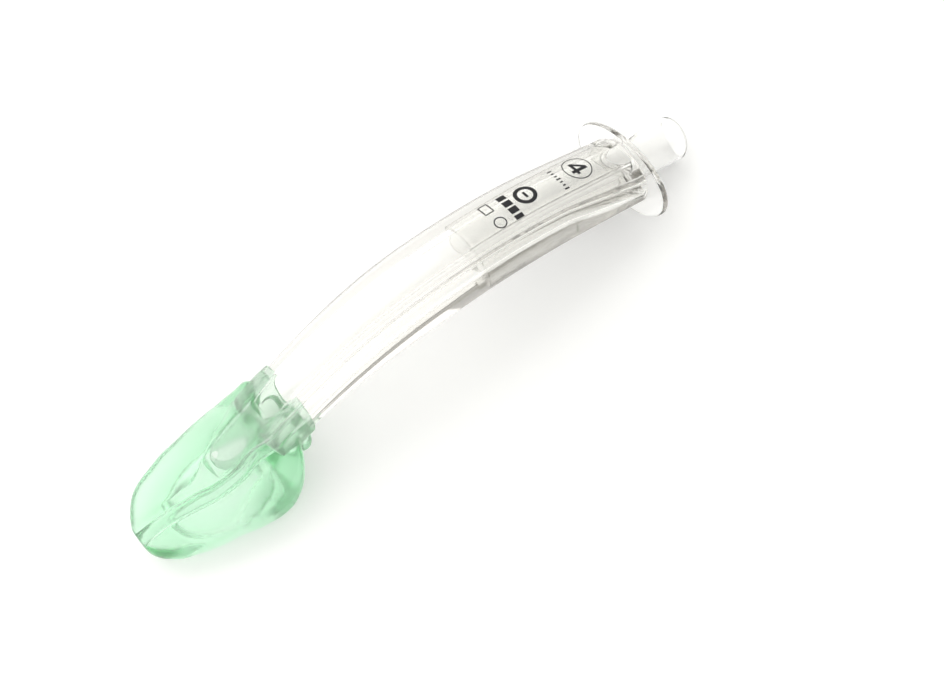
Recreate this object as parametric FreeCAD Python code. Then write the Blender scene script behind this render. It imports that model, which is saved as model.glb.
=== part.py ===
import FreeCAD, Part
import math
import os

# Supraglottic airway, size for a large child: a clear rigid connector, a soft clear stem
# and a soft gel cuff. Millimetres. It stands as an arch with its back up: the lower edge
# of the connector and the rim of the cuff's bowl touch the surface. +X runs from cuff to
# connector, +Z is up, and the drain channel lies on the -Y side.

# Arch of the device, measured along its middle line from the flange towards the tip
connector_slope = 18.5
straight_length = 28.0
back_radius = 197.0
neck_radius = 125.0
stem_length = 150.0
sleeve_length = 67.0

# 15 mm male cone, flange and the oval sleeve of the connector
cone_tip_diameter = 15.3
cone_taper = 1.0 / 40.0
cone_length = 24.0
cone_bore_diameter = 12.4
cone_bore_depth = 14.0
bore_step_length = 2.5
flange_width = 42.0
flange_height = 23.5
flange_thickness = 2.0
flange_edge_radius = 0.7
sleeve_width = 19.9
sleeve_height = 13.0
sleeve_offset = -1.35
mouth_chamfer = 0.5

# Channels
airway_diameter = 10.2
airway_offset = 2.4
drain_diameter = 4.3
drain_offset = -6.6
drain_lift = 0.6
port_diameter = 5.4
port_offset = -8.9
port_wall = 0.9
port_depth = 4.0
port_length = 32.0
port_end_step = 0.4
port_end_length = 1.0

# Oval stem, wide at the flange and narrower at the cuff
stem_start_width = 26.6
stem_width = 28.4
stem_height = 18.6
stem_widest_at = 55.0
neck_width = 23.0
neck_height = 15.8
taper_start = 82.0
pocket_clearance = 0.1

# Distance between neighbouring sections of the curved bodies and channels, and how far
# a cut runs out past the face that it opens
section_spacing = 10.0
cut_margin = 1.0

# Gel cuff: sizes are half widths and heights along its length from the tip, which lies
# cuff_reach ahead of the stem's end, and collar_reach behind it the cuff ends as a collar
cuff_reach = 48.6
collar_reach = 12.4
cuff_width = 43.4
widest_at = 40.0
nose_power = 2.2
nose_fullness = 0.58
heel_fullness = 0.62
heel_length = 14.5
collar_thickness = 0.8
collar_length = 4.0
bond_clearance = 0.1
tip_width = 8.6
tip_low = 4.6
tip_high = 12.4
rim_level = -0.62
rim_fullness = 0.75
rim_flat_start = 22.0
rim_flat_end = 42.0
rim_nose_power = 2.4
rim_heel_power = 1.3
back_rise_power = 1.45
shoulder_draw = 0.32
widest_level = 9.6
section_points = 16
nose_marks = (0.0, 0.03, 0.1, 0.225, 0.41, 0.65, 0.875, 1.0)
heel_marks = (0.0, 0.1, 0.45, 0.72, 0.91, 1.0)

# Rounded ridge across the underside of the cuff's collar, a rest for the epiglottis
ridge_radius = 4.0
ridge_width = 23.0
ridge_drop = 0.6
ridge_from_stem_end = 4.5

# Bowl on the underside of the cuff
bowl_start = 11.0
bowl_end = 47.0
bowl_width = 24.0
bowl_depth_below = 1.0
bowl_fullness = 0.6
bowl_marks = (-0.98, -0.8, -0.4, 0.0, 0.4, 0.8, 0.98)
roof_thickness = 7.4
outlet_length = 16.0

# The drain channel's run over the bowl: shares of the way from the tip to the stem's end,
# the stretch of it in which the channel swings to the middle, and its drop beside the crest
drain_run = (0.86, 0.72, 0.56, 0.4, 0.2)
swing_start = 0.12
swing_length = 0.62
drain_drop = 0.035
drain_spacing = 5.0


def vec(x, y, z):
    return FreeCAD.Vector(x, y, z)


slope = math.radians(connector_slope)
crown_s = straight_length + back_radius * slope
flange_reach = 0.5 * flange_height * math.cos(slope) + 0.5 * flange_thickness * math.sin(slope)
cone_reach = (cone_length + 0.5 * flange_thickness) * math.sin(slope) + 0.5 * cone_tip_diameter * math.cos(slope)
flange_middle_z = max(flange_reach, cone_reach)


def middle_line(s):
    """Point x, z and heading of the middle line at s from the flange towards the tip."""
    if s <= straight_length:
        return -s * math.cos(slope), flange_middle_z + s * math.sin(slope), slope
    x0 = -straight_length * math.cos(slope)
    z0 = flange_middle_z + straight_length * math.sin(slope)
    if s <= crown_s:
        heading = slope - (s - straight_length) / back_radius
        x = x0 - back_radius * (math.sin(slope) - math.sin(heading))
        z = z0 + back_radius * (math.cos(heading) - math.cos(slope))
        return x, z, heading
    x1 = x0 - back_radius * math.sin(slope)
    z1 = z0 + back_radius * (1.0 - math.cos(slope))
    fall = (s - crown_s) / neck_radius
    return x1 - neck_radius * math.sin(fall), z1 - neck_radius * (1.0 - math.cos(fall)), -fall


def station(s, y=0.0, lift=0.0):
    """A point beside the middle line: y sideways, lift towards the back."""
    x, z, heading = middle_line(s)
    return vec(x + lift * math.sin(heading), y, z + lift * math.cos(heading))


def along(s):
    """Unit vector of the middle line, pointing to the connector."""
    heading = middle_line(s)[2]
    return vec(math.cos(heading), 0, -math.sin(heading))


def marks(first, last, grid_start):
    """Places of sections from first to last, the inner ones on a grid from grid_start."""
    count = max(1, int((last - grid_start) / section_spacing))
    grid = [grid_start + section_spacing * i for i in range(count + 1)]
    margin = 0.1 * section_spacing
    return [first] + [s for s in grid if first + margin < s < last - margin] + [last]


def oval(s, width, height, y=0.0, lift=0.0):
    """Elliptical section square to the middle line, its long axis sideways."""
    centre = station(s, y, lift)
    side = station(s, y + 0.5 * width, lift)
    crest = station(s, y, lift + 0.5 * height)
    return Part.Wire([Part.Ellipse(side, crest, centre).toShape()])


def round_section(s, diameter, y=0.0, lift=0.0):
    return Part.Wire([Part.Circle(station(s, y, lift), along(s), 0.5 * diameter).toShape()])


def skin(sections):
    """Solid stretched from each section to the next."""
    return Part.makeLoft(sections, True, True)


def channel(s_from, s_to, diameter, y, lift=0.0):
    """Round channel beside the middle line: straight first, then along the bend."""
    return skin([round_section(s, diameter, y, lift) for s in marks(s_from, s_to, straight_length)])


def ease(t):
    """Smooth step from 0 to 1."""
    t = min(max(t, 0.0), 1.0)
    return t * t * (3.0 - 2.0 * t)


def stem_size(s):
    """Width and height of the stem's oval at s."""
    swell = ease(s / stem_widest_at)
    taper = ease((s - taper_start) / (stem_length - taper_start))
    width = stem_start_width + (stem_width - stem_start_width) * swell
    width = width + (neck_width - stem_width) * taper
    height = stem_height + (neck_height - stem_height) * taper
    return width, height


def stem_body(grow):
    """The stem's oval over its length, larger all round by grow."""
    places = marks(0.5 * flange_thickness, stem_length, 0.0)
    if grow > 0:
        places.append(stem_length + grow)
    sections = []
    for s in places:
        width, height = stem_size(s)
        sections.append(oval(s, width + 2 * grow, height + 2 * grow))
    return skin(sections)


def drain_in_connector(beyond):
    """Round port that starts straight, slants inwards and runs on as the drain channel."""
    half = 0.5 * flange_thickness
    sections = []
    for s in (-half - cut_margin, port_depth - half):
        sections.append(round_section(s, port_diameter, port_offset, drain_lift))
    for s in marks(port_length, beyond, straight_length):
        sections.append(round_section(s, drain_diameter, drain_offset, drain_lift))
    return skin(sections)


def sleeve_body(grow):
    """The oval sleeve, flared at the flange to take in the port, larger all round by grow."""
    far_side = sleeve_offset + 0.5 * sleeve_width
    plain_side = sleeve_offset - 0.5 * sleeve_width
    flared_side = port_offset - 0.5 * port_diameter - port_wall
    places = [0.0, port_length - port_end_length] + marks(port_length, sleeve_length, straight_length)
    if grow > 0:
        places.append(sleeve_length + grow)
    sections = []
    for s in places:
        near_side = plain_side
        if s < port_length:
            near_side = flared_side + (plain_side - port_end_step - flared_side) * s / port_length
        middle = 0.5 * (far_side + near_side)
        sections.append(oval(s, far_side - near_side + 2 * grow, sleeve_height + 2 * grow, middle))
    return skin(sections)


def flange():
    """Oval plate whose rim is rounded on both faces."""
    half = 0.5 * flange_thickness
    turn = (0.0, math.radians(45.0), math.radians(90.0))
    rounding = [(flange_edge_radius * (1.0 - math.cos(a)), flange_edge_radius * (1.0 - math.sin(a))) for a in turn]
    sections = []
    for depth, inset in rounding:
        sections.append(oval(depth - half, flange_width - 2 * inset, flange_height - 2 * inset))
    for depth, inset in reversed(rounding):
        sections.append(oval(half - depth, flange_width - 2 * inset, flange_height - 2 * inset))
    return skin(sections)


def connector():
    axis = along(0.0)
    half = 0.5 * flange_thickness
    root = station(-half, airway_offset)
    root_radius = 0.5 * (cone_tip_diameter + cone_taper * cone_length)
    stub = Part.makeCone(root_radius, 0.5 * cone_tip_diameter, cone_length, root, axis)
    solid = flange().fuse([stub, sleeve_body(0.0)])
    mouth_s = -half - cone_length
    mouth_bore = Part.makeCylinder(
        0.5 * cone_bore_diameter, cone_bore_depth, station(mouth_s + cone_bore_depth, airway_offset), axis)
    rim = Part.makeCone(
        0.5 * cone_bore_diameter, 0.5 * cone_bore_diameter + mouth_chamfer, mouth_chamfer,
        station(mouth_s + mouth_chamfer, airway_offset), axis)
    step_s = mouth_s + cone_bore_depth + bore_step_length
    step = Part.makeCone(
        0.5 * airway_diameter, 0.5 * cone_bore_diameter, bore_step_length, station(step_s, airway_offset), axis)
    lumen = Part.makeCylinder(
        0.5 * airway_diameter, straight_length - step_s, station(straight_length, airway_offset), axis)
    beyond = sleeve_length + cut_margin
    airway = channel(straight_length, beyond, airway_diameter, airway_offset)
    return solid.cut([mouth_bore, rim, step, lumen, airway, drain_in_connector(beyond)])


def stem():
    beyond = stem_length + cut_margin
    airway = channel(sleeve_length, beyond, airway_diameter, airway_offset)
    drain = channel(sleeve_length, beyond, drain_diameter, drain_offset, drain_lift)
    return stem_body(0.0).cut([sleeve_body(pocket_clearance), airway, drain])


tip_x = middle_line(stem_length)[0] - cuff_reach
cuff_length = cuff_reach + collar_reach


def stem_at(u):
    """Middle-line distance of the stem over the cuff's length mark u."""
    x = tip_x + u
    crown_x = middle_line(crown_s)[0]
    return crown_s + neck_radius * math.asin(min((crown_x - x) / neck_radius, 1.0))


def back_height(u):
    """Height of the cuff's back along its middle."""
    s = stem_at(max(u, cuff_reach))
    x, z, heading = middle_line(s)
    top = z + (0.5 * stem_size(s)[1] + collar_thickness) / math.cos(heading)
    if u >= cuff_reach:
        return top
    return tip_high + (top - tip_high) * (u / cuff_reach) ** back_rise_power


def cuff_section(u):
    """Closed pear-shaped section of the cuff at u from the tip."""
    s = stem_at(max(u, cuff_reach))
    collar_mid = middle_line(stem_at(max(u, cuff_reach)))[1]
    collar_half = 0.5 * stem_size(s)[0] + collar_thickness
    heel_end = widest_at + heel_length
    if u <= widest_at:
        nose = (1.0 - (1.0 - u / widest_at) ** nose_power) ** nose_fullness
        half = 0.5 * tip_width + 0.5 * (cuff_width - tip_width) * nose
    elif u < heel_end:
        fall = (1.0 - ((u - widest_at) / heel_length) ** 2) ** heel_fullness
        half = collar_half + (0.5 * cuff_width - collar_half) * fall
    else:
        half = collar_half
    rise = ease((u - rim_flat_end) / (cuff_length - collar_length - rim_flat_end))
    collar_low = collar_mid - (0.5 * stem_size(s)[1] + collar_thickness) / math.cos(middle_line(s)[2])
    low = rim_level + (collar_low - rim_level) * rise ** rim_heel_power
    if u < rim_flat_start:
        low = rim_level + (tip_low - rim_level) * (1.0 - u / rim_flat_start) ** rim_nose_power
    tip_mid = 0.5 * (tip_low + tip_high)
    level = tip_mid + (widest_level - tip_mid) * ease(u / rim_flat_start)
    level = level + (collar_mid - level) * rise
    top = back_height(u)
    draw = shoulder_draw * ease(u / rim_flat_start) * (1.0 - rise)
    points = []
    for i in range(section_points):
        a = 2.0 * math.pi * i / section_points
        y = half * math.cos(a)
        if math.sin(a) > 0:
            y = y * (1.0 - draw * math.sin(a))
            z = level + (top - level) * math.sin(a)
        else:
            z = level - (level - low) * abs(math.sin(a)) ** rim_fullness
        points.append(vec(tip_x + u, y, z))
    curve = Part.BSplineCurve()
    knots = [float(i) for i in range(section_points + 1)]
    curve.interpolate(Points=points, PeriodicFlag=True, Parameters=knots)
    return Part.Wire([curve.toShape()])


def ridge():
    """Round-ended bar across the collar's underside."""
    s = stem_length - ridge_from_stem_end
    lift = -0.5 * stem_size(s)[1] - ridge_drop
    reach = 0.5 * ridge_width - ridge_radius
    left = station(s, -reach, lift)
    right = station(s, reach, lift)
    bar = Part.makeCylinder(ridge_radius, 2.0 * reach, left, vec(0, 1, 0))
    end_radius = 0.5 * ridge_radius
    left_end = Part.makeCone(ridge_radius, end_radius, ridge_radius, left, vec(0, -1, 0))
    right_end = Part.makeCone(ridge_radius, end_radius, ridge_radius, right, vec(0, 1, 0))
    return bar.fuse([left_end, right_end])


def cuff_outside():
    places = [widest_at * share for share in nose_marks]
    places += [widest_at + heel_length * share for share in heel_marks[1:]]
    return skin([cuff_section(u) for u in places + [cuff_length]]).fuse(ridge())


def bowl():
    """Wedge-shaped hollow under the back, deep at the heel and shallow at the tip."""
    middle = 0.5 * (bowl_start + bowl_end)
    reach = 0.5 * (bowl_end - bowl_start)
    sections = []
    for t in bowl_marks:
        u = middle + reach * t
        round_off = math.sqrt(1.0 - t * t)
        half = 0.5 * bowl_width * round_off
        roof = (back_height(u) - roof_thickness) * round_off ** bowl_fullness + bowl_depth_below
        centre = vec(tip_x + u, 0, -bowl_depth_below)
        if roof > half:
            ellipse = Part.Ellipse(centre + vec(0, 0, roof), centre + vec(0, half, 0), centre)
        else:
            ellipse = Part.Ellipse(centre + vec(0, half, 0), centre + vec(0, 0, roof), centre)
        sections.append(Part.Wire([ellipse.toShape()]))
    return skin(sections)


def drain_in_cuff():
    """The drain channel's run over the bowl to the tip."""
    points = [station(stem_length - cut_margin, drain_offset, drain_lift)]
    for share in drain_run:
        u = cuff_reach * share
        y = drain_offset * ease((share - swing_start) / swing_length)
        points.append(vec(tip_x + u, y, back_height(u) - 0.5 * roof_thickness - drain_drop * y * y))
    points.append(vec(tip_x - cut_margin, 0, 0.5 * (tip_low + tip_high)))
    curve = Part.BSplineCurve()
    curve.interpolate(Points=points)
    count = max(2, round(cuff_reach / drain_spacing))
    sections = []
    for i in range(count + 1):
        t = curve.LastParameter * i / count
        circle = Part.Circle(curve.value(t), curve.tangent(t)[0], 0.5 * drain_diameter)
        sections.append(Part.Wire([circle.toShape()]))
    return skin(sections)


def cuff():
    outlet = Part.makeCylinder(
        0.5 * airway_diameter, outlet_length, station(stem_length, airway_offset), along(stem_length) * -1.0)
    return cuff_outside().cut([stem_body(bond_clearance), bowl(), outlet, drain_in_cuff()])


pieces = {"connector": connector(), "stem": stem(), "cuff": cuff()}

box = FreeCAD.BoundBox()
for shape in pieces.values():
    box.add(shape.optimalBoundingBox())
shift = vec(-box.Center.x, -box.Center.y, -box.ZMin)

os.makedirs("parts", exist_ok=True)
for name, shape in pieces.items():
    shape.translate(shift)
    shape.exportStep("parts/" + name + ".step")
    print(name, "solids", len(shape.Solids), "valid", shape.isValid(), "volume", round(shape.Volume, 1))
print("box", box.XLength, box.YLength, box.ZLength, "shift", shift)
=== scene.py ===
import math

import bpy
from mathutils import Matrix, Vector


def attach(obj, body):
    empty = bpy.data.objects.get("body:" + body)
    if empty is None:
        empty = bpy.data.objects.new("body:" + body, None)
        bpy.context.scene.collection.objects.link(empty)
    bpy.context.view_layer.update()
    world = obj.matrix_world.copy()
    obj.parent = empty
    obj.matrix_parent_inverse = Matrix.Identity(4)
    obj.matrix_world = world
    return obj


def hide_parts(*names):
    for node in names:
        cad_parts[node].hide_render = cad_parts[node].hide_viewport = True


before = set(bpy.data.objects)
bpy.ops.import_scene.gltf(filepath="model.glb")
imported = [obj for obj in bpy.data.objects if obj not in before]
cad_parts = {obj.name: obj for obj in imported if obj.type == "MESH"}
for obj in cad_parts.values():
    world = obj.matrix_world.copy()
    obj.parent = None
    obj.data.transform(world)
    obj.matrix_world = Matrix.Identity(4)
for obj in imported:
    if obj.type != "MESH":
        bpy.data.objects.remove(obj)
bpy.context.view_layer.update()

# Supraglottic airway: a clear rigid connector, a clear soft stem and a mint gel cuff.
# Sizes are in millimetres and become metres when a mesh is made. Places named s run along the
# arch from the flange towards the cuff, and places named u run from the cuff's tip backwards.

# From the flange's middle to the frame's own zero
SHIFT = Vector((83.909, -0.107, 0.041))

# Arch of the device
SLOPE = math.radians(18.5)
STRAIGHT = 28.0
BACK_RADIUS = 197.0
NECK_RADIUS = 125.0
CROWN = STRAIGHT + BACK_RADIUS * SLOPE
STEM_LENGTH = 150.0
SLEEVE_LENGTH = 67.0

# Connector
CONE_TIP = 15.3
CONE_TAPER = 1.0 / 40.0
CONE_LENGTH = 24.0
CONE_BORE = 12.4
CONE_BORE_DEPTH = 14.0
CONE_LIP = 0.5
CONE_FILLET = 0.9
MOUTH_FLARE = 1.2
BORE_STEP = 2.5
FLANGE_WIDTH = 42.0
FLANGE_HEIGHT = 23.5
FLANGE_THICKNESS = 2.0
FLANGE_ROUND = 0.8
SLEEVE_WIDTH = 19.9
SLEEVE_HEIGHT = 13.0
SLEEVE_OFFSET = -1.35
SLEEVE_ROUND = 0.5

# Channels, which run past a wall by a little where they cut through it
CUT_PAST = 1.0
AIRWAY = 10.2
AIRWAY_OFFSET = 2.4
DRAIN = 4.3
DRAIN_OFFSET = -6.6
DRAIN_LIFT = 0.6
PORT = 5.4
PORT_OFFSET = -8.9
PORT_WALL = 0.9
PORT_DEPTH = 4.0
PORT_LENGTH = 32.0
PORT_STEP = 0.5

# Edges sharper than this, in degrees, stay sharp
MOULDING_EDGE = 38.0
GEL_EDGE = 42.0

# How far the moulded layers run into each other where they are bonded
BOND = 0.03

# Stem
STEM_START_WIDTH = 26.6
STEM_WIDTH = 28.4
STEM_HEIGHT = 18.59
STEM_WIDEST_AT = 55.0
NECK_WIDTH = 23.0
NECK_HEIGHT = 15.8
TAPER_START = 82.0
STEM_ROUND = 0.5
STEM_SEAT_GAP = 0.05

# Tongue of the stem over the airway's opening: where it starts and ends, its half sizes, and how
# far it lies under the cuff's back
TONGUE_START = 51.0
TONGUE_LENGTH = 20.0
TONGUE_HALF_WIDTH = 6.6
TONGUE_HALF_THICKNESS = 3.2
TONGUE_SIDE = 0.6
TONGUE_COVER = 0.25

# Cuff, along its length from the tip
CUFF_REACH = 48.6
CUFF_LENGTH = 61.0
CUFF_WIDTH = 43.2
WIDEST_AT = 40.0
HEEL_LENGTH = 14.5
COLLAR = 0.8
TIP_WIDTH = 4.0
TIP_LOW = 4.6
TIP_HIGH = 12.4
RIM_START = 22.0
RIM_END = 42.0
BOWL_START = 11.0
BOWL_END = 47.0
BOWL_WIDTH = 24.0
ROOF = 7.4
OUTLET_LENGTH = 19.0
SOCKET_DEPTH = 34.0

# Cross ridge at the bowl's heel
RIDGE_BEFORE_END = 4.5
RIDGE_RADIUS = 4.0
RIDGE_HALF_LENGTH = 10.6
RIDGE_SIDE = -1.2

# Gap in the collar over the stem's back
WINDOW_START = 49.5
WINDOW_END = 62.5
WINDOW_HALF_WIDTH = 3.0
WINDOW_SPREAD = 8.6

FLANGE_MIDDLE_Z = max(
    0.5 * FLANGE_HEIGHT * math.cos(SLOPE) + 0.5 * FLANGE_THICKNESS * math.sin(SLOPE),
    (CONE_LENGTH + 0.5 * FLANGE_THICKNESS) * math.sin(SLOPE) + 0.5 * CONE_TIP * math.cos(SLOPE))


def middle_line(s):
    """Point x, z and heading of the arch's middle line at s."""
    if s <= STRAIGHT:
        return -s * math.cos(SLOPE), FLANGE_MIDDLE_Z + s * math.sin(SLOPE), SLOPE
    x0 = -STRAIGHT * math.cos(SLOPE)
    z0 = FLANGE_MIDDLE_Z + STRAIGHT * math.sin(SLOPE)
    if s <= CROWN:
        heading = SLOPE - (s - STRAIGHT) / BACK_RADIUS
        return (x0 - BACK_RADIUS * (math.sin(SLOPE) - math.sin(heading)),
                z0 + BACK_RADIUS * (math.cos(heading) - math.cos(SLOPE)), heading)
    x1 = x0 - BACK_RADIUS * math.sin(SLOPE)
    z1 = z0 + BACK_RADIUS * (1.0 - math.cos(SLOPE))
    fall = (s - CROWN) / NECK_RADIUS
    return x1 - NECK_RADIUS * math.sin(fall), z1 - NECK_RADIUS * (1.0 - math.cos(fall)), -fall


def station(s, y=0.0, lift=0.0):
    """A point beside the middle line: y sideways, lift towards the back."""
    x, z, heading = middle_line(s)
    return Vector((x + lift * math.sin(heading), y, z + lift * math.cos(heading))) + SHIFT


def ease(t):
    """Soft start and stop from 0 to 1."""
    t = min(max(t, 0.0), 1.0)
    return t * t * (3.0 - 2.0 * t)


def spread(first, last, count):
    """Even places from first to last, both with them."""
    return [first + (last - first) * i / count for i in range(count + 1)]


def stem_size(s):
    """Width and height of the stem's oval."""
    width = STEM_START_WIDTH + (STEM_WIDTH - STEM_START_WIDTH) * ease(s / STEM_WIDEST_AT)
    taper = ease((s - TAPER_START) / (STEM_LENGTH - TAPER_START))
    return width + (NECK_WIDTH - STEM_WIDTH) * taper, STEM_HEIGHT + (NECK_HEIGHT - STEM_HEIGHT) * taper


def oval(s, width, height, y=0.0, lift=0.0, points=96):
    """Ring of points square to the middle line."""
    ring = []
    for i in range(points):
        a = 2.0 * math.pi * i / points
        ring.append(station(s, y + 0.5 * width * math.cos(a), lift + 0.5 * height * math.sin(a)))
    return ring


def skin(name, rings):
    """Closed mesh stretched over rings of equal count, with a fan at each end."""
    count = len(rings[0])
    points = [p * 0.001 for ring in rings for p in ring]
    faces = []
    for r in range(len(rings) - 1):
        for i in range(count):
            j = (i + 1) % count
            faces.append((r * count + i, r * count + j, (r + 1) * count + j, (r + 1) * count + i))
    for ring, flip in ((0, True), (len(rings) - 1, False)):
        centre = len(points)
        points.append(sum(rings[ring], Vector()) * (0.001 / count))
        for i in range(count):
            a, b = ring * count + i, ring * count + (i + 1) % count
            faces.append((b, a, centre) if flip else (a, b, centre))
    mesh = bpy.data.meshes.new(name)
    mesh.from_pydata(points, [], faces)
    mesh.validate()
    piece = bpy.data.objects.new(name, mesh)
    bpy.context.scene.collection.objects.link(piece)
    return outward(piece)


def outward(piece):
    """Turns the faces of a closed mesh outwards."""
    mesh = piece.data
    volume = 0.0
    for face in mesh.polygons:
        corners = [mesh.vertices[v].co for v in face.vertices]
        for i in range(1, len(corners) - 1):
            volume += corners[0].dot(corners[i].cross(corners[i + 1]))
    if volume < 0.0:
        mesh.flip_normals()
    return piece


def finished(piece):
    """Bakes a piece's modifiers into its mesh."""
    graph = bpy.context.evaluated_depsgraph_get()
    baked = bpy.data.meshes.new_from_object(piece.evaluated_get(graph))
    piece.modifiers.clear()
    piece.data = baked
    return piece


def combine(piece, others, operation):
    """Joins others to a piece, or cuts them out of it."""
    for other in others:
        step = piece.modifiers.new("step", "BOOLEAN")
        step.operation = operation
        step.solver = "EXACT"
        step.object = other
        finished(piece)
        bpy.data.objects.remove(other)
    return piece


def polish(piece, sharp_degrees):
    """Smooth shading that keeps edges sharper than an angle."""
    piece.data.shade_smooth()
    piece.data.set_sharp_from_angle(angle=math.radians(sharp_degrees))
    return piece


def rounded_ends(first, last, radius, steps=5):
    """Places and insets that round both ends of a body."""
    marks = []
    for i in range(steps + 1):
        a = 0.5 * math.pi * i / steps
        marks.append((first + radius * (1.0 - math.cos(a)), radius * (1.0 - math.sin(a))))
    return marks, [(first + last - s, inset) for s, inset in reversed(marks)]


def channel(name, s_from, s_to, diameter, y, lift=0.0, points=64):
    """A round channel along the arch, with a ring about every 2 mm."""
    places = spread(s_from, s_to, int((s_to - s_from) / 2.0))
    return skin(name, [oval(s, diameter, diameter, y, lift, points) for s in places])


# Connector: oval flange, male cone and the sleeve that the stem is moulded over

def flange():
    """The oval plate with rounded edges."""
    half = 0.5 * FLANGE_THICKNESS
    start, end = rounded_ends(-half, half, FLANGE_ROUND, 6)
    rings = []
    for s, inset in start + end[1:]:
        rings.append(oval(s, FLANGE_WIDTH - 2 * inset, FLANGE_HEIGHT - 2 * inset, points=160))
    return skin("flange", rings)


def male_cone():
    """The tapered stub, with a rounded lip and a fillet at the flange."""
    tip = -0.5 * FLANGE_THICKNESS - CONE_LENGTH
    root = -0.5 * FLANGE_THICKNESS
    marks = []
    for i in range(6):
        a = 0.5 * math.pi * i / 5
        marks.append((tip + CONE_LIP * (1.0 - math.cos(a)), -CONE_LIP * (1.0 - math.sin(a))))
    marks.append((root - CONE_FILLET, 0.0))
    for i in range(1, 6):
        a = 0.5 * math.pi * i / 5
        marks.append((root - CONE_FILLET * (1.0 - math.sin(a)), CONE_FILLET * (1.0 - math.cos(a))))
    marks.append((root + 0.5, CONE_FILLET))
    rings = []
    for s, grow in marks:
        diameter = CONE_TIP + CONE_TAPER * (s - tip) + 2 * grow
        rings.append(oval(s, diameter, diameter, AIRWAY_OFFSET, points=128))
    return skin("male_cone", rings)


def sleeve(name, grow):
    """The oval sleeve, flared at the flange to take in the drain port, made larger by grow."""
    far_side = SLEEVE_OFFSET + 0.5 * SLEEVE_WIDTH
    plain_side = SLEEVE_OFFSET - 0.5 * SLEEVE_WIDTH
    flared_side = PORT_OFFSET - 0.5 * PORT - PORT_WALL
    end = SLEEVE_LENGTH + grow
    places = spread(0.0, PORT_LENGTH - 0.8, 8) + spread(PORT_LENGTH - 0.2, end - SLEEVE_ROUND, 26)
    marks = [(s, 0.0) for s in places]
    for i in range(1, 5):
        a = 0.5 * math.pi * i / 4
        marks.append((end - SLEEVE_ROUND * (1.0 - math.sin(a)), SLEEVE_ROUND * (1.0 - math.cos(a))))
    rings = []
    for s, inset in marks:
        near_side = plain_side
        if s < PORT_LENGTH - PORT_STEP:
            near_side = flared_side + (plain_side - PORT_STEP - flared_side) * s / PORT_LENGTH
        width = far_side - near_side + 2 * (grow - inset)
        height = SLEEVE_HEIGHT + 2 * (grow - inset)
        rings.append(oval(s, width, height, 0.5 * (far_side + near_side), points=128))
    return skin(name, rings)


def airway_in_connector():
    """The wide bore with its flared mouth, the step, and the airway down to the sleeve's end."""
    mouth = -0.5 * FLANGE_THICKNESS - CONE_LENGTH
    marks = [(mouth - CUT_PAST, CONE_BORE + 1.6), (mouth, CONE_BORE + MOUTH_FLARE),
             (mouth + CONE_LIP, CONE_BORE), (mouth + CONE_BORE_DEPTH, CONE_BORE),
             (mouth + CONE_BORE_DEPTH + BORE_STEP, AIRWAY)]
    for s in spread(-5.0, SLEEVE_LENGTH + 1.5, 40):
        marks.append((s, AIRWAY))
    return skin("airway", [oval(s, d, d, AIRWAY_OFFSET, points=96) for s, d in marks])


def drain_in_connector():
    """The port at the flange, and the drain that runs in from it at a slant."""
    half = 0.5 * FLANGE_THICKNESS
    rings = []
    for s in (-half - CUT_PAST, PORT_DEPTH - half):
        rings.append(oval(s, PORT, PORT, PORT_OFFSET, DRAIN_LIFT, 64))
    for s in spread(PORT_LENGTH, SLEEVE_LENGTH + 1.5, 26):
        rings.append(oval(s, DRAIN, DRAIN, DRAIN_OFFSET, DRAIN_LIFT, 64))
    return skin("drain", rings)


def make_connector():
    piece = combine(flange(), [male_cone(), sleeve("sleeve", 0.0)], "UNION")
    combine(piece, [airway_in_connector(), drain_in_connector()], "DIFFERENCE")
    piece.name = "connector_moulding"
    return polish(piece, MOULDING_EDGE)


# Stem: soft oval tube with two channels, moulded over the sleeve

def make_stem():
    start, end = rounded_ends(0.5 * FLANGE_THICKNESS + STEM_SEAT_GAP, STEM_LENGTH, STEM_ROUND)
    middle = [(s, 0.0) for s in spread(2.5, STEM_LENGTH - 1.5, 74)]
    rings = []
    for s, inset in start + middle + end:
        width, height = stem_size(s)
        rings.append(oval(s, width - 2 * inset, height - 2 * inset, points=144))
    piece = combine(skin("stem_moulding", rings), [tongue("tongue", 0.0)], "UNION")
    combine(piece, [
        sleeve("pocket", -BOND),
        channel("airway", SLEEVE_LENGTH - 0.3, STEM_LENGTH + CUT_PAST, AIRWAY, AIRWAY_OFFSET, points=96),
        channel("drain", SLEEVE_LENGTH - 0.3, STEM_LENGTH + CUT_PAST, DRAIN, DRAIN_OFFSET, DRAIN_LIFT),
        outlet(), drain_in_cuff()], "DIFFERENCE")
    return polish(piece, MOULDING_EDGE)


# Print on the stem's back: a size number in a ring and plain marks. It reads across the back,
# from the far side to the drain's side, with its top towards the flange.

INK_HEIGHT = 0.03
INK_DEPTH = 0.02


def on_back(s, y, above):
    """A point on the stem's back, a little above its surface."""
    width, height = stem_size(s)
    return station(s, y, 0.5 * height * math.sqrt(1.0 - (2.0 * y / width) ** 2) + above)


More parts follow.
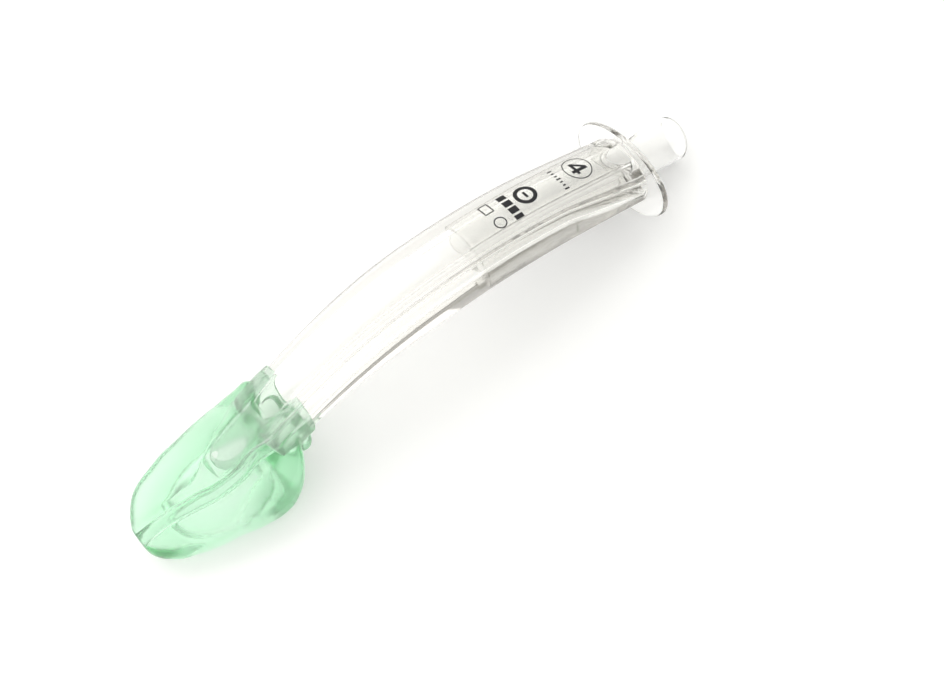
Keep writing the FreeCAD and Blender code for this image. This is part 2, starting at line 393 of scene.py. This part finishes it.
def stroke(name, s0, y0, corners, width, closed=False):
    """A printed line: corners in mm to the right of and above the place s0, y0."""
    if closed:
        corners = corners + corners[:1]
    line = []
    for (a0, b0), (a1, b1) in zip(corners, corners[1:]):
        steps = max(1, int(math.hypot(a1 - a0, b1 - b0) / 0.4))
        line += [(a0 + (a1 - a0) * i / steps, b0 + (b1 - b0) * i / steps) for i in range(steps)]
    if not closed:
        line.append(corners[-1])
    count = len(line)
    points = []
    for i, (a, b) in enumerate(line):
        before = line[(i - 1) % count] if closed else line[max(i - 1, 0)]
        after = line[(i + 1) % count] if closed else line[min(i + 1, count - 1)]
        da, db = after[0] - before[0], after[1] - before[1]
        length = math.hypot(da, db)
        da, db = 0.5 * width * da / length, 0.5 * width * db / length
        left, right = (s0 - b - da, y0 - a + db), (s0 - b + da, y0 - a - db)
        points += [on_back(*left, INK_HEIGHT), on_back(*right, INK_HEIGHT),
                   on_back(*right, -INK_DEPTH), on_back(*left, -INK_DEPTH)]
    faces = []
    for i in range(count if closed else count - 1):
        j = (i + 1) % count
        for k in range(4):
            faces.append((4 * i + k, 4 * i + (k + 1) % 4, 4 * j + (k + 1) % 4, 4 * j + k))
    if not closed:
        faces += [(3, 2, 1, 0), (4 * count - 4, 4 * count - 3, 4 * count - 2, 4 * count - 1)]
    mesh = bpy.data.meshes.new(name)
    mesh.from_pydata([p * 0.001 for p in points], [], faces)
    mark = bpy.data.objects.new(name, mesh)
    bpy.context.scene.collection.objects.link(mark)
    return outward(mark)


def circle(radius, steps=48):
    """Corners of a ring."""
    return [(radius * math.cos(2.0 * math.pi * i / steps), radius * math.sin(2.0 * math.pi * i / steps))
            for i in range(steps)]


def make_print():
    """One mesh of all the marks: size, row of ticks, thick ring, four blocks and two outlines."""
    size_at, ring_at = (20.9, 2.2), (42.4, 1.9)
    marks = [
        stroke("size_ring", *size_at, circle(4.8), 0.35, closed=True),
        stroke("size_upright", *size_at, [(1.1, -3.0), (1.1, 3.0)], 1.2),
        stroke("size_slant", *size_at, [(0.9, 2.6), (-2.2, -1.0)], 1.0),
        stroke("size_bar", *size_at, [(-2.6, -1.2), (2.7, -1.2)], 1.1),
        stroke("round_mark", *ring_at, circle(3.1), 1.3, closed=True),
        stroke("round_mark_bar", *ring_at, [(-1.3, 0.0), (1.3, 0.0)], 0.9),
        stroke("small_ring", 55.3, -2.4, circle(1.9, 32), 0.4, closed=True),
        stroke("small_frame", 55.6, 4.4, [(-2.0, -1.5), (2.0, -1.5), (2.0, 1.5), (-2.0, 1.5)], 0.4,
               closed=True)]
    for i in range(7):
        tall = 1.7 if i % 3 == 0 else 1.0
        marks.append(stroke("tick", 29.7, 5.6 - 1.45 * i, [(0.0, -0.5 * tall), (0.0, 0.5 * tall)], 0.55))
    for side, reach in ((5.2, 1.0), (2.2, 1.2), (-0.9, 1.2), (-3.7, 0.8)):
        marks.append(stroke("block", 49.1, side, [(-reach, 0.0), (reach, 0.0)], 3.0))
    with bpy.context.temp_override(active_object=marks[0], selected_editable_objects=marks):
        bpy.ops.object.join()
    marks[0].name = "stem_print"
    return marks[0]


# Cuff: one gel moulding with a bowl underneath and the drain channel over its roof

TIP_X = middle_line(STEM_LENGTH)[0] - CUFF_REACH


def stem_at(u):
    """Place s on the arch that lies over u."""
    return CROWN + NECK_RADIUS * math.asin(min((middle_line(CROWN)[0] - TIP_X - u) / NECK_RADIUS, 1.0))


def back_height(u):
    """Height of the cuff's back along its middle: the stem's own line, then down to the tip."""
    s = stem_at(max(u, CUFF_REACH))
    x, z, heading = middle_line(s)
    top = z + (0.5 * stem_size(s)[1] + COLLAR) / math.cos(heading)
    if u >= CUFF_REACH:
        return top
    return TIP_HIGH + (top - TIP_HIGH) * (max(u, 0.0) / CUFF_REACH) ** 1.45


def between(table, u):
    """Smooth value at u from a table of marks and values."""
    for (u0, v0), (u1, v1) in zip(table, table[1:]):
        if u <= u1:
            return v0 + (v1 - v0) * ease((u - u0) / (u1 - u0))
    return table[-1][1]


def drain_side(u):
    """Sideways place of the drain channel over the bowl."""
    return DRAIN_OFFSET * ease((u / CUFF_REACH - 0.12) / 0.62)


def spine(u):
    """Left and right edge of the raised spine, and its height over its own foot."""
    tube = drain_side(u)
    left = between(((0.0, tube + 5.0), (22.0, tube + 5.4), (30.0, 6.4), (38.0, 10.6),
                    (48.0, 12.8)), u)
    right = between(((0.0, tube - 4.4), (24.0, tube - 4.6), (36.0, -11.6), (45.0, -13.0)), u)
    foot = between(((0.0, 2.6), (20.0, 4.2), (29.0, 6.6), (48.0, 9.6)), u)
    return left, right, foot


def blend(a, b, soft):
    """The higher of two heights, rounded where they meet."""
    h = min(max(0.5 + 0.5 * (a - b) / soft, 0.0), 1.0)
    return b * (1.0 - h) + a * h + soft * h * (1.0 - h)


# Where each side of the cuff is fuller or slimmer than its even outline
LEFT_TRIM = ((0.0, 0.6), (7.0, 1.8), (18.0, 0.3), (28.0, -0.6), (44.0, -0.6), (49.5, -1.0),
             (55.0, 0.7), (60.0, 0.0))
RIGHT_TRIM = ((0.0, 0.2), (5.0, -0.6), (12.0, -1.7), (17.0, -1.9), (25.0, -2.1), (32.0, -0.9),
              (38.0, -0.3), (44.0, -0.6), (51.0, 0.0))

# How high the side lobes stand, as a share of the back's height over the widest line
LOBE_SHARE = ((0.0, 1.0), (13.0, 0.72), (40.0, 0.66), (52.0, 0.8), (58.0, 1.0))

# Underside and widest line of the cuff's middle part, and where the spine has run into the collar
RIM_LOW = -0.5
WIDEST_LEVEL = 9.6
SPINE_END = 57.9
CUFF_POINTS = 176


def cuff_ring(u):
    """Ring of points across the cuff at u: lobes, spine and flattened underside."""
    s = stem_at(max(u, CUFF_REACH))
    collar_mid = middle_line(s)[1]
    collar_half = 0.5 * stem_size(s)[0] + COLLAR
    if u <= WIDEST_AT:
        nose = (1.0 - (1.0 - max(u, 0.0) / WIDEST_AT) ** 2.2) ** 0.54
        half = 0.5 * TIP_WIDTH + 0.5 * (CUFF_WIDTH - TIP_WIDTH) * nose
    elif u < WIDEST_AT + HEEL_LENGTH:
        fall = (1.0 - ((u - WIDEST_AT) / HEEL_LENGTH) ** 2) ** 0.62
        half = collar_half + (0.5 * CUFF_WIDTH - collar_half) * fall
    else:
        half = collar_half
    rise = ease((u - RIM_END) / (CUFF_LENGTH - 4.0 - RIM_END))
    collar_low = collar_mid - (0.5 * stem_size(s)[1] + COLLAR) / math.cos(middle_line(s)[2])
    low = RIM_LOW + (collar_low - RIM_LOW) * rise ** 1.3
    if u < RIM_START:
        low = RIM_LOW + (TIP_LOW - RIM_LOW) * (1.0 - u / RIM_START) ** 2.4
    tip_mid = 0.5 * (TIP_LOW + TIP_HIGH)
    level = tip_mid + (WIDEST_LEVEL - tip_mid) * ease(u / RIM_START)
    level = level + (collar_mid - level) * rise
    top = back_height(u)
    lobe = level + (top - level) * between(LOBE_SHARE, u)
    left, right, foot = spine(u)
    middle, reach = 0.5 * (left + right), 0.5 * (left - right)
    left_half = half + between(LEFT_TRIM, u)
    right_half = half + between(RIGHT_TRIM, u)
    ring = []
    for i in range(CUFF_POINTS):
        a = 2.0 * math.pi * i / CUFF_POINTS
        y = (left_half if math.cos(a) > 0.0 else right_half) * math.cos(a)
        if math.sin(a) > 0:
            z = level + (lobe - level) * math.sin(a) ** 0.9
            q = abs(y - middle) / reach
            if q < 1.0 and u < SPINE_END:
                crest = top - foot + foot * math.sqrt(1.0 - q * q)
                z = blend(crest, z, 2.4 * (1.0 - q * q) + 0.3)
        else:
            z = level - (level - low) * abs(math.sin(a)) ** 0.75
        ring.append(Vector((TIP_X + u, y, max(z, 0.0))) + SHIFT)
    return ring


def cuff_body():
    """The cuff before it is cut, with rings set closer towards the tip."""
    places = [CUFF_LENGTH * (0.35 * t + 0.65 * t ** 1.6) for t in spread(0.0, 1.0, 130)]
    rings = [cuff_ring(u) for u in places]
    centre = sum(rings[0], Vector()) / len(rings[0])
    nose = []
    for i in range(1, 6):
        a = 0.5 * math.pi * i / 6
        nose.append([centre + (p - centre) * math.sin(a) for p in rings[0]])
    return skin("cuff_moulding", nose + rings)


def tongue(name, grow):
    """The stem's clear roof, which runs on over the airway's opening as a rounded tongue."""
    rings = []
    for k in range(25):
        u = TONGUE_START - grow - (TONGUE_LENGTH - 2 * grow) * math.sin(0.5 * math.pi * k / 24)
        end = math.sqrt(max(1.0 - ((TONGUE_START - u) / (TONGUE_LENGTH + 0.3)) ** 4, 0.0))
        half = TONGUE_HALF_WIDTH * end + grow
        thick = TONGUE_HALF_THICKNESS * end + grow
        top = back_height(u) - TONGUE_COVER + grow
        ring = []
        for i in range(72):
            a = 2.0 * math.pi * i / 72
            side = half * math.cos(a)
            drop = 0.06 * side ** 2
            z = top - thick + thick * math.sin(a) - drop
            ring.append(Vector((TIP_X + u, TONGUE_SIDE + side, z)) + SHIFT)
        rings.append(ring)
    return skin(name, rings)


def bowl():
    """The hollow of the underside, highest in its middle and closed at both ends."""
    middle = 0.5 * (BOWL_START + BOWL_END)
    reach = 0.5 * (BOWL_END - BOWL_START)
    rings = []
    for k in range(49):
        t = -math.cos(math.pi * (0.02 + 0.96 * k / 48))
        u = middle + reach * t
        round_off = math.sqrt(1.0 - t * t)
        half = 0.5 * BOWL_WIDTH * round_off
        roof = (back_height(u) - ROOF) * round_off ** 0.6 + 1.0
        ring = []
        for i in range(96):
            a = 2.0 * math.pi * i / 96
            ring.append(Vector((TIP_X + u, half * math.cos(a), roof * math.sin(a) - CUT_PAST)) + SHIFT)
        rings.append(ring)
    return skin("bowl", rings)


def drain_in_cuff():
    """The drain channel's run over the bowl to the tip."""
    points = [station(STEM_LENGTH - CUT_PAST, DRAIN_OFFSET, DRAIN_LIFT)]
    for share in (0.86, 0.72, 0.56, 0.4, 0.2):
        u = CUFF_REACH * share
        y = drain_side(u)
        points.append(Vector((TIP_X + u, y, back_height(u) - 0.5 * ROOF - 0.035 * y * y)) + SHIFT)
    points.append(Vector((TIP_X - 1.5, 0.0, 0.5 * (TIP_LOW + TIP_HIGH))) + SHIFT)
    line = smooth_line(points, 60)
    rings = []
    for i, p in enumerate(line):
        ahead = (line[min(i + 1, len(line) - 1)] - line[max(i - 1, 0)]).normalized()
        side = ahead.cross(Vector((0, 0, 1))).normalized()
        crest = side.cross(ahead)
        ring = []
        for k in range(64):
            a = 2.0 * math.pi * k / 64
            ring.append(p + (side * math.cos(a) + crest * math.sin(a)) * (0.5 * DRAIN))
        rings.append(ring)
    return skin("drain", rings)


def smooth_line(points, count):
    """Catmull-Rom line through points."""
    ends = [points[0] * 2 - points[1]] + points + [points[-1] * 2 - points[-2]]
    line = []
    for i in range(count + 1):
        t = (len(points) - 1) * i / count
        k = min(int(t), len(points) - 2)
        f = t - k
        a, b, c, d = ends[k:k + 4]
        line.append(0.5 * ((2 * b) + (c - a) * f + (2 * a - 5 * b + 4 * c - d) * f * f
                           + (3 * b - a - 3 * c + d) * f ** 3))
    return line


def outlet():
    """The airway's straight run on into the bowl."""
    heading = middle_line(STEM_LENGTH)[2]
    along = Vector((math.cos(heading), 0.0, -math.sin(heading)))
    rings = []
    for t in spread(-CUT_PAST, OUTLET_LENGTH, 8):
        end_ring = oval(STEM_LENGTH, AIRWAY, AIRWAY, AIRWAY_OFFSET, points=96)
        rings.append([p - along * t for p in end_ring])
    return skin("outlet", rings)


def socket():
    """The stem's seat in the cuff."""
    rings = []
    for s in spread(STEM_LENGTH - SOCKET_DEPTH, STEM_LENGTH - BOND, 20):
        width, height = stem_size(s)
        rings.append(oval(s, width - 2 * BOND, height - 2 * BOND, points=144))
    return skin("socket", rings)


def ridge():
    """The rounded cross ridge under the collar."""
    s = STEM_LENGTH - RIDGE_BEFORE_END
    rings = []
    for k in range(17):
        t = -math.cos(math.pi * (0.03 + 0.94 * k / 16))
        radius = RIDGE_RADIUS * math.sqrt(1.0 - abs(t) ** 4)
        ring = []
        centre = station(s, RIDGE_HALF_LENGTH * t + RIDGE_SIDE, -0.5 * stem_size(s)[1] - 0.6)
        for i in range(48):
            a = 2.0 * math.pi * i / 48
            ring.append(centre + Vector((radius * math.cos(a), 0.0, radius * math.sin(a))))
        rings.append(ring)
    return skin("ridge", rings)


def collar_window():
    """The gap in the collar over the stem's back, where only the clear stem shows."""
    rings = []
    for u in spread(WINDOW_START, WINDOW_END, 20):
        open_share = (u - WINDOW_START + 0.1) / (WINDOW_END - WINDOW_START + 0.1)
        half = WINDOW_HALF_WIDTH + WINDOW_SPREAD * math.sqrt(open_share)
        ring = []
        for i in range(72):
            a = 2.0 * math.pi * i / 72
            y = 0.4 + half * math.cos(a)
            ring.append(Vector((TIP_X + u, y, back_height(u) + 2.2 + 4.6 * math.sin(a))) + SHIFT)
        rings.append(ring)
    return skin("collar_window", rings)


# Facets of the gel in metres, and how much they are smoothed
GEL_FACET = 0.00045
GEL_FLOW = 0.5
GEL_FLOW_STEPS = 12


def make_cuff():
    """The gel cuff, cut by the bowl, the stem's seat, the two channels and the collar's gap."""
    piece = combine(cuff_body(), [ridge()], "UNION")
    combine(piece, [bowl()], "DIFFERENCE")
    # Small even facets, so that the edges of bowl and ridge flow as soft gel does
    remesh = piece.modifiers.new("gel", "REMESH")
    remesh.mode = "VOXEL"
    remesh.voxel_size = GEL_FACET
    finished(piece)
    flow = piece.modifiers.new("flow", "SMOOTH")
    flow.factor = GEL_FLOW
    flow.iterations = GEL_FLOW_STEPS
    finished(piece)
    stem_seat = combine(socket(), [tongue("tongue_seat", -BOND)], "UNION")
    combine(piece, [stem_seat, outlet(), drain_in_cuff(), collar_window()], "DIFFERENCE")
    return polish(piece, GEL_EDGE)


# Materials

def linear(code):
    """Linear colour of an sRGB hex code."""
    parts = []
    for i in (1, 3, 5):
        c = int(code[i:i + 2], 16) / 255.0
        parts.append(c / 12.92 if c <= 0.04045 else ((c + 0.055) / 1.055) ** 2.4)
    return parts + [1.0]


def add(tree, kind, links=None, **settings):
    """Adds a node, sets its inputs and attributes, and links other nodes' outputs to it."""
    node = tree.nodes.new(kind)
    for name, value in settings.items():
        if hasattr(node, name):
            setattr(node, name, value)
        else:
            node.inputs[name.replace("_", " ")].default_value = value
    for name, output in (links or {}).items():
        tree.links.new(output, node.inputs[name])
    return node


def per_mm(size):
    """Scale of a pattern whose grain is size millimetres, for coordinates in metres."""
    return 1000.0 / size


def new_material(name):
    """A material with an empty node tree."""
    material = bpy.data.materials.new(name)
    material.use_nodes = True
    material.node_tree.nodes.clear()
    return material, material.node_tree


def moulded_polymer(name, colour, depth_colour, density, ior, transmission, roughness, wave, wave_depth,
                    haze):
    """A clear or translucent moulding: slow waves and a faint haze in its skin, colour in its depth.

    The colours are sRGB hex codes, density is per metre, and wave, wave_depth and haze are in mm.
    """
    material, tree = new_material(name)
    place = add(tree, "ShaderNodeTexCoord")
    waves = add(tree, "ShaderNodeTexNoise", {"Vector": place.outputs["Object"]},
                Scale=per_mm(wave), Detail=1.0, Roughness=0.4)
    mottle = add(tree, "ShaderNodeTexNoise", {"Vector": place.outputs["Object"]},
                 Scale=per_mm(haze), Detail=4.0, Roughness=0.6)
    grain = add(tree, "ShaderNodeMapRange", {"Value": mottle.outputs["Fac"]})
    grain.inputs["To Min"].default_value = roughness * 0.6
    grain.inputs["To Max"].default_value = roughness * 1.5
    bump = add(tree, "ShaderNodeBump", {"Height": waves.outputs["Fac"]}, Strength=1.0,
               Distance=wave_depth * 0.001)
    surface = add(tree, "ShaderNodeBsdfPrincipled",
                  {"Roughness": grain.outputs["Result"], "Normal": bump.outputs["Normal"]}, IOR=ior)
    surface.inputs["Base Color"].default_value = linear(colour)
    surface.inputs["Transmission Weight"].default_value = transmission
    depth = add(tree, "ShaderNodeVolumeAbsorption", Density=density)
    depth.inputs["Color"].default_value = linear(depth_colour)
    add(tree, "ShaderNodeOutputMaterial",
        {"Surface": surface.outputs["BSDF"], "Volume": depth.outputs["Volume"]})
    return material


# Polycarbonate, injection moulded in a polished tool: hard gloss, strong edges, a grey cast where
# it is deep. A wave of 9 mm is the sink of the moulding.
clear_connector = moulded_polymer(
    "clear_polycarbonate_moulded", colour="#FEFEFD", depth_colour="#C4C0B8", density=26.0, ior=1.585,
    transmission=0.99, roughness=0.04, wave=9.0, wave_depth=0.01, haze=1.5)

# Thermoplastic elastomer, overmoulded: clear and soft, with a warm grey cast along its walls and
# slower waves than the connector's.
clear_stem = moulded_polymer(
    "clear_elastomer_moulded", colour="#FDFDFC", depth_colour="#C2BDB2", density=22.0, ior=1.49,
    transmission=0.99, roughness=0.04, wave=14.0, wave_depth=0.01, haze=2.0)

# Gel elastomer, moulded soft: satin skin with a little milkiness, mint that deepens with thickness.
mint_gel = moulded_polymer(
    "mint_gel_elastomer_moulded", colour="#F2FEF6", depth_colour="#78F2A8", density=26.0, ior=1.42,
    transmission=0.93, roughness=0.21, wave=8.0, wave_depth=0.03, haze=2.0)


def pad_print_ink():
    """Black pad-print ink: a thin matt film, a little thinner in places."""
    material, tree = new_material("black_pad_print_ink")
    place = add(tree, "ShaderNodeTexCoord")
    film = add(tree, "ShaderNodeTexNoise", {"Vector": place.outputs["Object"]},
               Scale=per_mm(0.5), Detail=3.0)
    tone = add(tree, "ShaderNodeValToRGB", {"Fac": film.outputs["Fac"]})
    tone.color_ramp.elements[0].color = linear("#0C0C0D")
    tone.color_ramp.elements[1].color = linear("#26262A")
    ink = add(tree, "ShaderNodeBsdfPrincipled", {"Base Color": tone.outputs["Color"]}, Roughness=0.5)
    add(tree, "ShaderNodeOutputMaterial", {"Surface": ink.outputs["BSDF"]})
    return material


def dress(piece, material, node=None):
    """Gives a piece its finish and hangs it under the root body; a moulding also stands for its node,
    which is hidden.
    """
    piece.data.materials.clear()
    piece.data.materials.append(material)
    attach(piece, "root")
    if node:
        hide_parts(node)


dress(make_connector(), clear_connector, "connector")
dress(make_stem(), clear_stem, "stem")
dress(make_cuff(), mint_gel, "cuff")
dress(make_print(), pad_print_ink())


# Floor, lights, background and camera

# Light that the white floor gives of itself to rays that look at it or mirror it, and to rays
# that reach it through the clear pieces, so that it reads as white paper and keeps its shadow
FLOOR_SEEN = 0.25
FLOOR_THROUGH = 0.28
FLOOR_REACH = 4.0
FLOOR_BELOW = 0.00005


def make_floor():
    """Sheet of uncoated white paper, pressed flat: no gloss, so only soft shadows lie on it."""
    mesh = bpy.data.meshes.new("floor")
    r = FLOOR_REACH
    mesh.from_pydata([(-r, -r, 0), (r, -r, 0), (r, r, 0), (-r, r, 0)], [], [(0, 1, 2, 3)])
    floor = bpy.data.objects.new("floor", mesh)
    floor.location.z = -FLOOR_BELOW
    bpy.context.scene.collection.objects.link(floor)
    material, tree = new_material("white_paper_sweep")
    path = add(tree, "ShaderNodeLightPath")
    paper = add(tree, "ShaderNodeBsdfDiffuse")
    paper.inputs["Color"].default_value = linear("#F4F4F2")
    seen = add(tree, "ShaderNodeMath",
               {0: path.outputs["Is Camera Ray"], 1: path.outputs["Is Glossy Ray"]},
               operation="MAXIMUM")
    through = add(tree, "ShaderNodeMath", {0: path.outputs["Is Transmission Ray"]},
                  operation="MULTIPLY")
    through.inputs[1].default_value = FLOOR_THROUGH
    lift = add(tree, "ShaderNodeMath", {0: seen.outputs[0], 2: through.outputs[0]},
               operation="MULTIPLY_ADD")
    lift.inputs[1].default_value = FLOOR_SEEN
    glow = add(tree, "ShaderNodeEmission", {"Strength": lift.outputs[0]})
    both = add(tree, "ShaderNodeAddShader", {0: paper.outputs[0], 1: glow.outputs[0]})
    add(tree, "ShaderNodeOutputMaterial", {"Surface": both.outputs[0]})
    mesh.materials.append(material)


def make_light(name, place, size, power):
    """Soft square lamp, size in metres and power in watts, turned to the object."""
    lamp = bpy.data.lights.new(name, "AREA")
    lamp.size = size
    lamp.energy = power
    light = bpy.data.objects.new(name, lamp)
    light.location = place
    light.rotation_euler = (-Vector(place)).to_track_quat("-Z", "Y").to_euler()
    bpy.context.scene.collection.objects.link(light)


def make_world():
    """White backdrop for the camera, and a pale room, greyer below, for light and gloss."""
    world = bpy.data.worlds.new("studio")
    world.use_nodes = True
    tree = world.node_tree
    tree.nodes.clear()
    path = add(tree, "ShaderNodeLightPath")
    place = add(tree, "ShaderNodeTexCoord")
    split = add(tree, "ShaderNodeSeparateXYZ", {"Vector": place.outputs["Generated"]})
    tone = add(tree, "ShaderNodeValToRGB", {"Fac": split.outputs["Z"]})
    tone.color_ramp.elements[0].position = 0.0
    tone.color_ramp.elements[0].color = linear("#9C9995")
    tone.color_ramp.elements[1].position = 0.7
    tone.color_ramp.elements[1].color = linear("#E0E0DE")
    studio = add(tree, "ShaderNodeBackground", {"Color": tone.outputs["Color"]}, Strength=1.0)
    white = add(tree, "ShaderNodeBackground", Strength=1.0)
    white.inputs["Color"].default_value = linear("#FFFFFF")
    mix = add(tree, "ShaderNodeMixShader",
              {0: path.outputs["Is Camera Ray"], 1: studio.outputs[0], 2: white.outputs[0]})
    add(tree, "ShaderNodeOutputWorld", {"Surface": mix.outputs[0]})
    bpy.context.scene.world = world


# Camera fitted to the photograph: its place in metres, its angles and its field of view in degrees
CAMERA_PLACE = (-0.1150, -0.2331, 0.4638)
CAMERA_DOWN, CAMERA_TURN, CAMERA_ROLL = 61.0, 29.4, -11.0
CAMERA_VIEW = 32.0


def make_camera():
    """Camera that looks down on the back, rolled a little, as the photograph's did."""
    down, turn, roll = math.radians(CAMERA_DOWN), math.radians(CAMERA_TURN), math.radians(CAMERA_ROLL)
    look = Vector((math.sin(turn) * math.cos(down), math.cos(turn) * math.cos(down),
                   -math.sin(down)))
    right = Vector((math.cos(turn), -math.sin(turn), 0.0))
    up = right.cross(look)
    right_rolled = right * math.cos(roll) + up * math.sin(roll)
    up_rolled = up * math.cos(roll) - right * math.sin(roll)
    data = bpy.data.cameras.new("camera")
    data.sensor_width = 36.0
    data.lens = 0.5 * data.sensor_width / math.tan(math.radians(0.5 * CAMERA_VIEW))
    data.clip_start = 0.01
    camera = bpy.data.objects.new("camera", data)
    turn_to = Matrix((right_rolled, up_rolled, -look)).transposed()
    camera.matrix_world = Matrix.Translation(Vector(CAMERA_PLACE)) @ turn_to.to_4x4()
    bpy.context.scene.collection.objects.link(camera)
    bpy.context.scene.camera = camera


make_floor()
make_light("key", (-0.15, 0.75, 1.0), 1.3, 6.0)
make_light("fill", (-0.6, -0.6, 0.9), 1.2, 3.5)
make_world()
make_camera()
bpy.context.scene.view_settings.view_transform = "Standard"

# Enough bounces for light to pass the nested clear walls and to run along inside the flange
CLEAR_BOUNCES = 24
bpy.context.scene.cycles.max_bounces = CLEAR_BOUNCES
bpy.context.scene.cycles.transmission_bounces = CLEAR_BOUNCES
bpy.context.scene.cycles.glossy_bounces = CLEAR_BOUNCES
